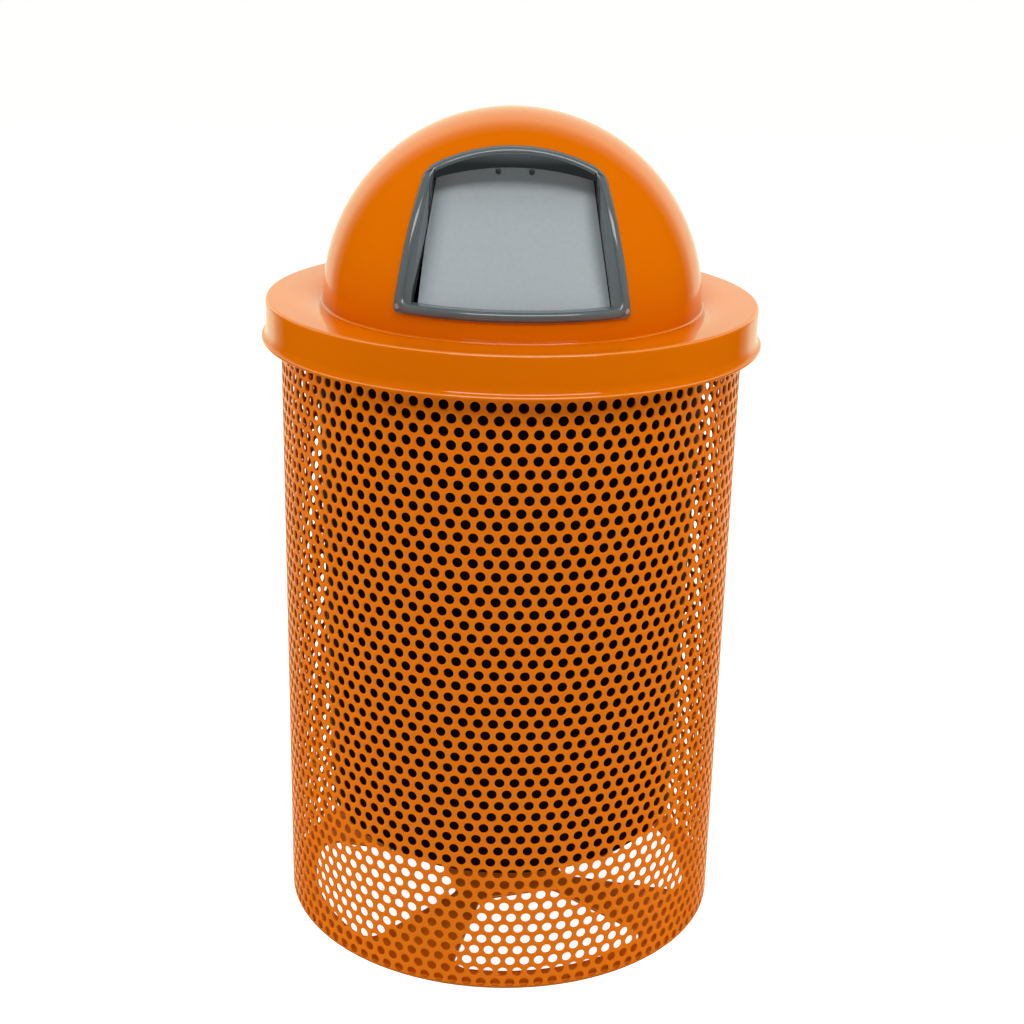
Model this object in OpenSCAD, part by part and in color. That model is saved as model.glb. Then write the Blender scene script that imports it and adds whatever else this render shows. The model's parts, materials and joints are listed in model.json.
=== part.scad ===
// Dome top waste receptacle: a perforated round basket with a hanging liner, and a loose lid whose
// domed top has a self-closing door. Millimetres, +Z up, the floor at Z = 0, the door towards -Y.

/* [Basket] */
// Outside diameter of the perforated wall
basket_d = 608; // [560:4:660]
// Height of the perforated wall
basket_h = 860; // [780:1:940]
// Thickness of the coated sheet
sheet_t = 3.5; // [2.5:0.5:5]
// Holes in one row round the wall
hole_cols = 48; // [36:4:56]
// Diameter of a hole
hole_d = 25; // [18:1:28]
// Plain edge under the lowest row of holes
edge_plain = 8; // [6:1:20]
// Diameter of the round bar round the wall's top edge
hoop_bar_d = 10; // [8:1:12]

/* [Liner ring] */
// Thickness of the rolled angle that carries the liner
ring_t = 4; // [3:0.5:6]
// Height of the angle's upright leg, welded inside the wall
ring_leg_h = 26; // [22:1:34]

/* [Base plate] */
// Thickness of the base plate
base_t = 4; // [3:1:8]
// Width of the plate's outer ring
base_ring_w = 30; // [22:1:45]
// Distance from the middle to the inner edge of a cut-out
base_hub = 80; // [70:1:100]
// Width of a cut-out at its inner edge
cut_inner_w = 106; // [90:1:120]
// Angle between a cut-out's side and its middle line
cut_side_angle = 30; // [24:1:34]
// Corner radius of a cut-out
cut_corner_r = 22; // [8:1:28]
// Turn of the four cut-outs round the basket's axis
base_turn = 18; // [0:1:45]

/* [Liner] */
// Space between the wall and the liner under its rim
liner_room = 42.5; // [36:0.5:60]
// How far the liner's side slopes in on its way to the bottom
liner_slope = 16; // [8:1:33]
// Depth of the liner below its rim
liner_depth = 710; // [600:5:770]
// Wall thickness of the liner
liner_t = 3.5; // [2.5:0.5:5]
// Width of the rim that hangs on the ring
liner_rim_w = 26; // [18:1:32]
// Thickness of that rim
liner_rim_t = 6; // [4:0.5:8]

/* [Lid] */
// Wall thickness of the spun lid
lid_t = 2; // [1.5:0.5:3]
// Height of the band that hangs round the basket's top, with its bead
band_h = 54; // [40:1:70]
// Corner radius between the brim and the band
shoulder_r = 5; // [3:1:8]
// How far the foot of the band flares out
flare_w = 6; // [3:0.5:9]
// Height of the flare
flare_h = 11; // [8:1:24]
// Diameter of the rolled bead at the band's edge
bead_d = 6; // [5:0.5:8]
// Outside diameter of the dome
dome_d = 497; // [480:1:510]
// Height of the brim's top above the dome's centre
dome_sink = 6; // [2:1:14]
// How far the brim's top sags on its way in to the dome
brim_dish = 7.5; // [0:0.5:9]

/* [Door frame] */
// Distance of the frame's top edge in front of the lid's axis
frame_top_y = 129; // [124:1:134]
// Height of the frame's bottom edge above the dome's centre
frame_sill = 26.5; // [22:0.5:30]
// Width of the frame at its bottom edge
frame_w = 285; // [276:1:292]
// Narrowing of the frame's half width for each unit of height
frame_lean = 0.13; // [0.11:0.01:0.15]
// Narrowing of the frame's half width for each unit of depth
frame_draft = 0.18; // [0.16:0.01:0.20]
// Radius of the frame's top corners
frame_corner_r = 14; // [12:0.5:17]
// Radius of its bottom corners, where the screws sit
frame_foot_r = 7; // [6:0.5:9]
// Radius at which the frame's bead and walls would round those corners at its outline
bead_foot_r = 20; // [18:0.5:23]
// Width of the frame's flange on the dome
flange_w = 12; // [11:0.5:13]
// Thickness of the frame's flange and walls
frame_t = 3; // [2:0.5:4]
// Height of the raised bead on the flange
flange_bead = 2.5; // [1:0.5:4]
// Drop from the frame's top edge to the middle of its top wall's lower edge
curtain_drop = 20.5; // [18.5:0.5:24.5]
// Radius of that lower edge of the frame's top wall
curtain_arc_r = 330; // [260:10:400]

/* [Door] */
// Thickness of the flap
flap_t = 1.5; // [1:0.5:2]
// How far the flap's bottom corners lie inside the frame's outline
flap_inset = 23.5; // [21.5:0.5:27.5]
// How much each side of the flap leans in from bottom to top
flap_taper = 27; // [25:0.5:30]
// Gap between the flap and the frame at each side
flap_side_gap = 1.5; // [1.5:0.5:3]
// Width of the flap's folded sides
fold_w = 15; // [12:1:18]
// How far the edge of a folded side lies behind the flap's face
fold_back = 6; // [3:0.5:8]
// Length of the steep band at the top of the flap
band_len = 43; // [36:1:48]
// Tilt of that band from upright
band_tilt = 17; // [12:1:20]
// Distance of the hinge pin behind the front of the frame's top wall
hinge_back = 36; // [34:0.5:39]
// Depth of the hinge pin under the frame's top edge
hinge_drop = 13.5; // [12.5:0.5:15.5]
// Diameter of the hinge pin
pin_d = 5; // [4:0.5:5]
// Diameter of the hinge's knuckles
knuckle_d = 9; // [8:0.5:10]
// Length of the hinge
hinge_len = 68; // [60:2:76]
// Thickness of the hinge's leaves
leaf_t = 2; // [1.5:0.5:2]
// Distance between the two rivets in the flap
rivet_gap = 41; // [36:1:44]

/* [Hidden] */

eps = 0.01;            // overlap that makes a cut go right through
weld_gap = 0.3;        // between welded round pieces
seat_gap = 0.3;        // between pieces that only rest on each other
run_gap = 0.05;        // round the hinge pin
fine_fn = 180;         // facets of the large round pieces in the preview
part_fn = 48;          // facets of small round pieces in the preview

// Perforation: equilateral triangles, so the rows lie closer than the columns
hole_pitch = PI * basket_d / hole_cols;
row_pitch = hole_pitch * sqrt(3) / 2;
hole_rows = floor((basket_h - 2 * edge_plain - hole_d) / row_pitch) + 1;
wall_r = basket_d / 2;
// The wall is rolled in flats, one to each hole of a row: its inside touches a circle of this radius
inner_r = wall_r * cos(180 / hole_cols) - sheet_t - weld_gap;

// Liner ring, with the liner's rim on its level leg
liner_d = basket_d - 2 * (sheet_t + liner_room);          // outside of the liner under its rim
liner_gap = 4;
ring_in_r = liner_d / 2 + liner_gap;
ring_top = basket_h - ring_leg_h + ring_t;
rim_z = ring_top + seat_gap;

// Lid
band_gap = 6.5;
hoop_r = wall_r + hoop_bar_d / 2;
brim_z = basket_h + seat_gap + lid_t + brim_dish / 10;    // top of the brim at its outer edge
band_r = wall_r + hoop_bar_d + band_gap + lid_t;          // outside of the band
dome_r = dome_d / 2;
dome_z = brim_z - dome_sink;                              // height of the dome's centre

// Door frame, measured from the dome's centre
frame_y = 200;                                            // depth at which frame_w is measured
frame_front = dome_r + 20;
frame_high = dome_r - 10;
frame_top_z = sqrt(pow(dome_r, 2) - pow(frame_top_y, 2)); // height of its top edge
flange_r = dome_r + seat_gap;                             // inside of the flange
into_r = flange_r + 1;                                    // the walls end inside the flange
wall_inset = flange_w - frame_t;
cut_gap = 1;                                              // round the frame's walls in the dome
lip_t = 10;                                               // how far the bottom edge turns in
lip_low = frame_sill + wall_inset;                        // underside of the turned-in edge
curtain_y = frame_top_y + flange_w;                       // front face of the frame's top wall
curtain_z = frame_top_z - curtain_drop;
hook_w = 100;
hook_reach = 8;

// Flap: a steep band that carries the hinge, then the main face down behind the bottom edge
hinge_y = curtain_y - hinge_back;
hinge_z = frame_top_z - hinge_drop;
flap_base_w = frame_w - 2 * flap_inset;
flap_top_w = flap_base_w - 2 * flap_taper;
lip_gap = 0.5;
flap_under = 7.5;                                         // how far the flap reaches below that edge
flap_z = lip_low - flap_under;
flap_out = knuckle_d / 2 + flap_t;                        // from the pin's axis to the flap's front
flap_start = knuckle_d / 2 + 2.5;                         // from the pin's axis to the flap's top edge
top_y = hinge_y + flap_out * cos(band_tilt) + flap_start * sin(band_tilt);
top_z = hinge_z + flap_out * sin(band_tilt) - flap_start * cos(band_tilt);
crease_y = hinge_y + flap_out * cos(band_tilt) + band_len * sin(band_tilt);
crease_z = hinge_z + flap_out * sin(band_tilt) - band_len * cos(band_tilt);
side_y = sqrt(pow(dome_r - lip_t, 2) - pow(lip_low, 2) - pow(flap_base_w / 2, 2)) - lip_gap;
flap_tilt = atan((side_y + fold_back - crease_y) / (crease_z - lip_low));
fold_angle = asin(fold_back * cos(flap_tilt) / fold_w);
main_len = (crease_z - flap_z) / cos(flap_tilt);
shelf_y = top_y + 2;                                      // back of the frame's shelf for the hinge

// Hinge
rivet_d = 4;
rivet_head_d = 7;
rivet_head_h = 1.8;
rivet_reach = 18.5;                                       // from the pin's axis down the flap
leaf_reach = 24;
leaf_rivet_y = shelf_y + 7;
shelf_z = hinge_z + knuckle_d / 2 - leaf_t - frame_t;     // underside of the shelf
knuckle_end = 13;                                         // length of the frame leaf's knuckles
knuckle_mid = 9;                                          // length of the flap leaf's knuckles
spring_wire = 1.4;
spring_half = hinge_len / 2 - knuckle_end - knuckle_mid - 1.2;
spring_r = pin_d / 2 + 0.4 + spring_wire / 2;             // middle of the spring's wire

// Half width of the frame's outline at depth y in front of the axis and height z
function frame_half(y, z) = frame_w / 2 + frame_draft * (y - frame_y) - frame_lean * (z - frame_sill);
// Half width of the flap at height z
function flap_half(z) = flap_top_w / 2 + flap_taper * (top_z - z) / (top_z - flap_z);
// Half width between the frame's side walls, set by the flap and drawn in towards the back
wall_draft = 0.12;
fold_y = crease_y - fold_back;
wall_lean =
  (flap_half(lip_low) - flap_half(crease_z) - wall_draft * (side_y - fold_y)) / (crease_z - lip_low);
function wall_half(y, z) =
  flap_half(crease_z) + flap_side_gap + wall_draft * (y - fold_y) + wall_lean * (crease_z - z);

// ---------------------------------------------------------------- basket

// Corners of the rolled wall's flats, so that the odd rows of holes lie on the corners
function flats(r) =
  [for (i = [0 : hole_cols - 1]) let (a = (i + 0.5) * 360 / hole_cols) r * [cos(a), sin(a)]];

module basket_wall() {
  flat_r = wall_r * cos(180 / hole_cols);
  color("darkorange")
    difference() {
      linear_extrude(basket_h)
        difference() {
          polygon(flats(wall_r));
          polygon(flats((flat_r - sheet_t) / cos(180 / hole_cols)));
        }
      for (row = [0 : hole_rows - 1], col = [0 : hole_cols - 1])
        rotate((col + row % 2 / 2) * 360 / hole_cols)
          translate([wall_r - 2 * sheet_t, 0, edge_plain + hole_d / 2 + row * row_pitch])
            rotate([0, 90, 0])
              rotate(30)
                cylinder(d = hole_d, h = 3 * sheet_t, $fn = 24);
    }
}

module rim_hoop() {
  color("darkorange")
    rotate_extrude($fn = fine_fn)
      translate([hoop_r + weld_gap, basket_h - hoop_bar_d / 2])
        circle(d = hoop_bar_d, $fn = part_fn);
}

module liner_ring() {
  color("darkorange")
    rotate_extrude($fn = fine_fn) {
      translate([inner_r - ring_t, basket_h - ring_leg_h])
        square([ring_t, ring_leg_h]);
      translate([ring_in_r, basket_h - ring_leg_h])
        square([inner_r - ring_in_r, ring_t]);
    }
}

// One cut-out of the base plate, along -Y
module base_cut() {
  far = inner_r - base_ring_w;
  half = cut_inner_w / 2;
  spread = half + (far - base_hub) * tan(cut_side_angle);
  offset(r = cut_corner_r, $fn = 40)
    offset(delta = -cut_corner_r)
      intersection() {
        circle(r = far, $fn = fine_fn);
        polygon([[-half, -base_hub], [half, -base_hub], [spread, -far], [-spread, -far]]);
      }
}

module base_plate() {
  color("darkorange")
    difference() {
      cylinder(r = inner_r, h = base_t, $fn = fine_fn);
      translate([0, 0, -eps])
        linear_extrude(base_t + 2 * eps)
          for (i = [0 : 3])
            rotate(base_turn + 90 * i)
              base_cut();
    }
}

// ---------------------------------------------------------------- liner

// Radius of the liner's outside at depth d below its rim
function liner_r(d) = liner_d / 2 - liner_slope * d / liner_depth;

module liner() {
  floor_t = liner_t + 1;
  foot_r = 14;
  rim_r = liner_d / 2 + liner_rim_w;
  color([0.07, 0.07, 0.08])
    translate([0, 0, rim_z])
      rotate_extrude($fn = fine_fn)
        difference() {
          union() {
            polygon([
              [0, -liner_depth], [liner_r(liner_depth) - foot_r, -liner_depth],
              [liner_r(liner_depth - foot_r), foot_r - liner_depth], [liner_d / 2, 0], [0, 0]
            ]);
            square([rim_r - liner_rim_t / 2, liner_rim_t]);
            translate([rim_r - liner_rim_t / 2, liner_rim_t / 2])
              circle(d = liner_rim_t, $fn = part_fn);
          }
          polygon([
            [-eps, floor_t - liner_depth],
            [liner_r(liner_depth) - foot_r - liner_t / 2, floor_t - liner_depth],
            [liner_r(liner_depth - foot_r) - liner_t, floor_t + foot_r - liner_depth],
            [liner_d / 2 - liner_t, liner_rim_t + eps], [-eps, liner_rim_t + eps]
          ]);
          translate([-2 * liner_d, -liner_d])
            square([2 * liner_d, 4 * liner_d]);
        }
}

// ---------------------------------------------------------------- lid

// Section of the lid's shell
module lid_section() {
  arm_r = band_r - shoulder_r;
  bead_z = brim_z - band_h + bead_d / 2;
  bead_x = band_r + flare_w - bead_d / 2;
  foot_r = dome_r - lid_t * 0.75;
  // Points of the brim from the dome outward, at height z at its outer edge
  function sagging(z) =
    [for (i = [0 : 7]) [foot_r + (arm_r - foot_r) * i / 8, z - brim_dish * pow(1 - i / 8, 2)]];
  function shoulder(r) =
    [for (i = [0 : 8]) [arm_r, brim_z - shoulder_r] + r * [sin(i * 90 / 8), cos(i * 90 / 8)]];
  function turned(list) = [for (i = [len(list) - 1 : -1 : 0]) list[i]];
  intersection() {
    translate([0, dome_z])
      difference() {
        circle(r = dome_r, $fn = fine_fn);
        circle(r = dome_r - lid_t, $fn = fine_fn);
      }
    translate([0, brim_z - brim_dish - lid_t / 2])
      square([dome_r, dome_r + brim_dish + lid_t]);
  }
  polygon(concat(
    sagging(brim_z - lid_t), shoulder(shoulder_r - lid_t), [[band_r - lid_t, bead_z + flare_h]],
    [for (a = [110 : 20 : 430]) [bead_x, bead_z] + bead_d / 2 * [cos(a), sin(a)]],
    [[band_r, bead_z + flare_h]], turned(shoulder(shoulder_r)), turned(sagging(brim_z))
  ));
}

module at_dome() {
  translate([0, 0, dome_z])
    children();
}

// The frame's outline as a block that runs in from the front, its faces moved in by inset and its
// bottom corners rounded by foot_r
module frame_block(inset, foot_r) {
  top_r = max(frame_corner_r - inset, 2);
  hull()
    for (side = [-1, 1], low = [0, 1], front = [0, 1]) {
      r = low == 1 ? foot_r : top_r;
      y = front == 1 ? frame_front : frame_top_y + inset + r;
      z = low == 1 ? frame_sill + inset + r : frame_high;
      translate([side * (frame_half(y, z) - inset - r), -y, z])
        sphere(r = r, $fn = 24);
    }
}

module inner_block(inset) {
  frame_block(inset, bead_foot_r - inset);
}

// The space between the frame's side walls, made wider by grow
module sight_block(grow) {
  size = 2 * dome_r;
  slope = norm([1, wall_draft, wall_lean]);
  reach = (wall_half(0, 0) + grow) / slope;
  difference() {
    cube(2 * size, center = true);
    for (m = [0, 1])
      mirror([m, 0, 0])
        rotate([0, -asin(wall_lean / slope), atan(wall_draft)])
          translate([reach, -size, -size])
            cube(2 * size);
  }
}

module lid_shell() {
  color("darkorange")
    difference() {
      rotate_extrude($fn = fine_fn)
        lid_section();
      at_dome()
        inner_block(wall_inset - cut_gap);
      at_screws()
        translate([0, 0, -10])
          cylinder(d = screw_d + 0.4, h = 20, $fn = part_fn);
    }
}

// ---------------------------------------------------------------- door frame

// The frame's screws go through the middle of its bottom corners
screw_inset = 7.3;
screw_z = frame_sill + screw_inset;
screw_x = frame_half(0.83 * dome_r, screw_z) - screw_inset;
screw_up = asin(screw_z / dome_r);
screw_round = asin(screw_x / dome_r / cos(screw_up));
screw_d = 4;
screw_head_d = 7;
screw_head_h = 2.2;
nut_w = 7;
nut_h = 3.2;
washer_t = 1;

// Puts children on the dome's surface at both screws, with +Z outward
module at_screws() {
  at_dome()
    for (side = [-1, 1])
      rotate(side * screw_round)
        rotate([90 - screw_up, 0, 0])
          translate([0, 0, dome_r])
            children();
}

module ball_shell(from_r, to_r) {
  difference() {
    sphere(r = to_r, $fn = fine_fn);
    sphere(r = from_r, $fn = fine_fn);
  }
}

// Side view of the space in front of the flap, above the frame's bottom edge
module front_space() {
  behind = 3;
  rotate([90, 0, 90])
    translate([0, 0, -dome_r])
      linear_extrude(2 * dome_r)
        polygon([
          [behind - top_y, frame_high], [behind - top_y, top_z], [behind + fold_back - crease_y, crease_z],
          [behind - side_y, lip_low], [-frame_front, lip_low], [-frame_front, frame_high]
        ]);
}

// Walls beside the flap; above the turned-in edge and in front of the top wall, the opening is
// cut from them together with the flange
module side_walls() {
  intersection() {
    front_space();
    difference() {
      sight_block(frame_t);
      intersection() {
        sight_block(0);
        union() {
          translate([0, dome_r - curtain_y - seat_gap, 0])
            cube([2 * dome_r, 2 * dome_r, 4 * dome_r], center = true);
          translate([0, 0, lip_low - dome_r + frame_t + seat_gap])
            cube([2 * dome_r, 4 * dome_r, 2 * dome_r], center = true);
        }
      }
    }
  }
}

module door_frame() {
  color("slategray")
    difference() {
      at_dome() {
        difference() {
          union() {
            // flange on the dome with a raised bead
            intersection() {
              ball_shell(flange_r, flange_r + frame_t);
              frame_block(0, frame_foot_r);
            }
            intersection() {
              ball_shell(into_r, flange_r + frame_t + flange_bead);
              difference() {
                inner_block(3);
                inner_block(9);
              }
            }
            // walls that go in through the opening: sides, turned-in bottom edge and top
            intersection() {
              inner_block(wall_inset);
              union() {
                intersection() {
                  sphere(r = into_r, $fn = fine_fn);
                  side_walls();
                }
                intersection() {
                  ball_shell(dome_r - lip_t, into_r);
                  translate([0, -dome_r, lip_low])
                    cube([2 * dome_r, dome_r, 2 * frame_t], center = true);
                }
                difference() {
                  intersection() {
                    sphere(r = into_r, $fn = fine_fn);
                    translate([-dome_r, -curtain_y, 0])
                      cube([2 * dome_r, frame_t, dome_r]);
                  }
                  translate([0, 0, curtain_z - curtain_arc_r])
                    rotate([90, 0, 0])
                      cylinder(r = curtain_arc_r, h = 2 * dome_r, $fn = fine_fn);
                }
              }
            }
          }
          intersection() {
            inner_block(flange_w);
            sight_block(0);
          }
        }
        // side walls' back ends, shelf for the hinge, and the hook behind the dome's edge
        intersection() {
          sphere(r = dome_r - lid_t - seat_gap, $fn = fine_fn);
          union() {
            intersection() {
              side_walls();
              translate([0, dome_r - curtain_y + frame_t / 2, 0])
                cube(2 * dome_r, center = true);
            }
            translate([-hinge_len / 2 - 4, -curtain_y + frame_t / 2, shelf_z])
              cube([hinge_len + 8, curtain_y - frame_t / 2 - shelf_y, frame_t]);
            difference() {
              translate([-hook_w / 2, -curtain_y + frame_t / 2, 0])
                cube([hook_w, hook_reach + frame_t / 2, dome_r]);
              sphere(r = dome_r - lid_t - frame_t, $fn = fine_fn);
            }
          }
        }
      }
      at_screws() {
        translate([0, 0, -10])
          cylinder(d = screw_d + 0.4, h = 20, $fn = part_fn);
        translate([0, 0, seat_gap + frame_t])
          cylinder(d = screw_head_d + 1.4, h = 10, $fn = part_fn);
      }
      at_leaf_rivets()
        translate([0, 0, -20])
          cylinder(d = rivet_d + 0.3, h = 40, $fn = part_fn);
    }
}

module frame_screws() {
  seat = 2 * seat_gap + frame_t;
  tip = lid_t + seat_gap + washer_t + nut_h + 2;
  color("silver")
    at_screws() {
      translate([0, 0, seat])
        intersection() {
          cylinder(d = screw_head_d, h = screw_head_h, $fn = part_fn);
          translate([0, 0, screw_head_h - screw_head_d])
            sphere(r = screw_head_d, $fn = part_fn);
        }
      translate([0, 0, -tip])
        cylinder(d = screw_d, h = seat + tip + eps, $fn = part_fn);
    }
}

module frame_washers() {
  color("silver")
    at_screws()
      translate([0, 0, -lid_t - seat_gap - washer_t])
        difference() {
          cylinder(d = 9, h = washer_t, $fn = part_fn);
          translate([0, 0, -eps])
            cylinder(d = screw_d + 0.3, h = washer_t + 2 * eps, $fn = part_fn);
        }
}

module frame_nuts() {
  color("silver")
    at_screws()
      translate([0, 0, -lid_t - 2 * seat_gap - washer_t - nut_h])
        difference() {
          cylinder(d = nut_w / cos(30), h = nut_h, $fn = 6);
          translate([0, 0, -eps])
            cylinder(d = screw_d + 0.1, h = nut_h + 2 * eps, $fn = part_fn);
        }
}

// ---------------------------------------------------------------- hinge

// Puts children on the hinge pin's axis: +Z down a leaf tilted by tilt from upright, +Y to its front
module at_pin(tilt) {
  at_dome()
    translate([0, -hinge_y, hinge_z])
      rotate([180 - tilt, 0, 0])
        children();
}

// A knuckle from x to x + len, with its bore
module knuckle_blank(x, len) {
  translate([x, 0, 0])
    rotate([0, 90, 0])
      cylinder(d = knuckle_d, h = len, $fn = part_fn);
}

module pin_bore() {
  translate([-hinge_len, 0, 0])
    rotate([0, 90, 0])
      cylinder(d = pin_d + 2 * run_gap, h = 2 * hinge_len, $fn = part_fn);
}

// Room round the knuckles of the other leaf, from x to x + len
module knuckle_room(x, len) {
  translate([x, 0, 0])
    rotate([0, 90, 0])
      cylinder(d = knuckle_d + 1.2, h = len, $fn = part_fn);
}

// Puts children on top of the frame's leaf at its rivets, with +Z up
module at_leaf_rivets() {
  at_dome()
    for (side = [-1, 1])
      translate([side * rivet_gap / 2, -leaf_rivet_y, hinge_z + knuckle_d / 2])
        children();
}

module frame_leaf() {
  mid = hinge_len / 2 - knuckle_end;
  notch_y = 13.5;
  reach = curtain_y - frame_t - hook_reach - 0.5 - hinge_y;   // up to the frame's hook
  color("silver")
    difference() {
      at_dome()
        translate([0, -hinge_y, hinge_z])
          difference() {
            union() {
              knuckle_blank(-hinge_len / 2, knuckle_end);
              knuckle_blank(mid, knuckle_end);
              translate([-hinge_len / 2, -reach, knuckle_d / 2 - leaf_t])
                cube([hinge_len, reach, leaf_t - seat_gap / 2]);
            }
            knuckle_room(-mid, 2 * mid);
            translate([-spring_half - 1, -notch_y, -knuckle_d])
              cube([2 * spring_half + 2, notch_y + knuckle_d, 2 * knuckle_d]);
            translate([-mid, -eps, -knuckle_d])
              cube([2 * mid, knuckle_d, 2 * knuckle_d]);
            pin_bore();
          }
      at_leaf_rivets()
        translate([0, 0, -20])
          cylinder(d = rivet_d + 0.3, h = 40, $fn = part_fn);
    }
}

// A rivet with its head's seat at Z = 0 and its formed end at Z = -grip
module rivet(grip) {
  intersection() {
    cylinder(d = rivet_head_d, h = rivet_head_h, $fn = part_fn);
    translate([0, 0, rivet_head_h - rivet_head_d])
      sphere(r = rivet_head_d, $fn = part_fn);
  }
  translate([0, 0, -grip - 1])
    cylinder(d = rivet_d, h = grip + 1 + eps, $fn = part_fn);
  translate([0, 0, -grip - 1.4])
    cylinder(d = rivet_head_d - 1, h = 1.4, $fn = part_fn);
}

module leaf_rivets() {
  color("silver")
    at_leaf_rivets()
      translate([0, 0, seat_gap / 2])
        rivet(leaf_t + frame_t + seat_gap);
}

module hinge_pin() {
  head_t = 2;
  color("silver")
    at_pin(0) {
      translate([-hinge_len / 2 - seat_gap, 0, 0])
        rotate([0, 90, 0])
          cylinder(d = pin_d, h = hinge_len + 2 * seat_gap, $fn = part_fn);
      for (x = [-hinge_len / 2 - seat_gap - head_t, hinge_len / 2 + seat_gap])
        translate([x, 0, 0])
          rotate([0, 90, 0])
            cylinder(d = pin_d + 2, h = head_t, $fn = part_fn);
    }
}

module door_spring() {
  turns = floor(2 * spring_half / spring_wire - 1);
  leg_x = turns * spring_wire / 2;
  color("silver") {
    at_pin(0)
      rotate([0, 90, 0])
        rotate_extrude($fn = part_fn)
          difference() {
            for (i = [0 : turns])
              translate([spring_r, i * spring_wire - leg_x])
                circle(d = spring_wire + 0.1, $fn = 24);
            square([2 * (spring_r - spring_wire / 2), 4 * hinge_len], center = true);
          }
    at_dome()
      translate([-leg_x, -hinge_y, hinge_z + spring_r])
        rotate([90, 0, 0])
          cylinder(d = spring_wire, h = 13, $fn = 24);
    at_pin(band_tilt)
      translate([leg_x, spring_r, 0])
        cylinder(d = spring_wire, h = rivet_reach + 2, $fn = 24);
  }
}

// ---------------------------------------------------------------- door

// The flap's section between its front face and a face set back by its thickness, as a long bar
module flap_bar() {
  bend = (flap_tilt - band_tilt) / 2;
  back = flap_t / cos(bend);
  mid_tilt = band_tilt + bend;
  at_dome()
    rotate([90, 0, 90])
      translate([0, 0, -dome_r])
        linear_extrude(2 * dome_r)
          polygon([
            [-top_y, top_z], [-crease_y, crease_z],
            [-crease_y - main_len * sin(flap_tilt), crease_z - main_len * cos(flap_tilt)],
            [-crease_y - main_len * sin(flap_tilt) + flap_t * cos(flap_tilt),
              crease_z - main_len * cos(flap_tilt) - flap_t * sin(flap_tilt)],
            [back * cos(mid_tilt) - crease_y, crease_z - back * sin(mid_tilt)],
            [flap_t * cos(band_tilt) - top_y, top_z - flap_t * sin(band_tilt)]
          ]);
}

// Front view of the flap between heights, its sides moved in by inset
module flap_front(inset, low, high, r) {
  at_dome()
    rotate([90, 0, 0])
      linear_extrude(2 * dome_r)
        offset(r = r, $fn = part_fn)
          offset(delta = -r)
            polygon([
              [-flap_half(low) + inset, low], [flap_half(low) - inset, low],
              [flap_half(high) - inset, high], [-flap_half(high) + inset, high]
            ]);
}

// A folded side along the flap's right edge, from height z0 up to z1, on a face that is tilted
// about the crease
module folded_side(tilt, z0, z1) {
  inset = fold_w * cos(fold_angle);
  up = (z1 - z0) / cos(tilt);
  turn = atan((flap_half(z0) - flap_half(z1)) / up);
  len = up / cos(turn);
  at_dome()
    translate([flap_half(z0) - inset, -crease_y - (crease_z - z0) * tan(tilt), z0])
      rotate([90 - tilt, 0, 0])
        rotate(turn)
          rotate([0, fold_angle, 0])
            translate([-eps, -4, -flap_t])
              cube([fold_w + 4, len + 8, flap_t]);
}

module door_flap() {
  inset = fold_w * cos(fold_angle);
  color("lightgray")
    difference() {
      union() {
        intersection() {
          flap_bar();
          flap_front(inset - 0.2, flap_z, top_z, 0.1);
        }
        for (m = [0, 1])
          mirror([m, 0, 0]) {
            intersection() {
              folded_side(flap_tilt, flap_z, crease_z);
              flap_front(0, flap_z, crease_z + 0.2, 4);
            }
            intersection() {
              folded_side(band_tilt, crease_z, top_z);
              flap_front(0, crease_z - 0.2, top_z, 4);
            }
          }
      }
      at_pin(band_tilt)
        for (side = [-1, 1])
          translate([side * rivet_gap / 2, 0, rivet_reach])
            rotate([-90, 0, 0])
              cylinder(d = rivet_d + 0.3, h = 20, $fn = part_fn);
    }
}

module door_leaf() {
  from = hinge_len / 2 - knuckle_end - knuckle_mid;
  gap = 0.4;
  color("silver")
    at_pin(band_tilt)
      difference() {
        union() {
          for (x = [-from - knuckle_mid + gap, from])
            knuckle_blank(x, knuckle_mid - gap);
          translate([-hinge_len / 2, knuckle_d / 2 - leaf_t, 0])
            cube([hinge_len, leaf_t - seat_gap / 2, leaf_reach]);
        }
        for (side = [-1, 1])
          translate([side * (from + knuckle_mid + knuckle_end / 2 + 0.5), 0, 0])
            rotate([0, 90, 0])
              cylinder(d = knuckle_d + 1.2, h = knuckle_end + 1 + 2 * gap, center = true, $fn = part_fn);
        translate([-from, -knuckle_d, -knuckle_d])
          cube([2 * from, 2 * knuckle_d, knuckle_d + rivet_reach + 4]);
        pin_bore();
        for (side = [-1, 1])
          translate([side * rivet_gap / 2, 0, rivet_reach])
            rotate([-90, 0, 0])
              cylinder(d = rivet_d + 0.3, h = 40, center = true, $fn = part_fn);
      }
}

module flap_rivets() {
  color("silver")
    at_pin(band_tilt)
      for (side = [-1, 1])
        translate([side * rivet_gap / 2, flap_out + seat_gap / 2, rivet_reach])
          rotate([-90, 0, 0])
            rivet(flap_t + leaf_t + seat_gap);
}

// ---------------------------------------------------------------- build

basket_wall();
rim_hoop();
liner_ring();
base_plate();
liner();
lid_shell();
door_frame();
frame_screws();
frame_washers();
frame_nuts();
frame_leaf();
leaf_rivets();
hinge_pin();
door_spring();
door_flap();
door_leaf();
flap_rivets();
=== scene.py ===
"""Looks of the dome top waste receptacle: finishes, the wall with all its holes, the lid, the bead round
its door frame, the flap, light and camera.

Metres, +Z up, the door towards -Y. The lid, bead and flap are worked out in millimetres and then scaled.
The wall and the flap's foot take their sizes from the frame's boxes.
"""
import json
import math

import bmesh
import bpy
import numpy as np
from mathutils import Matrix, Vector


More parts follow.
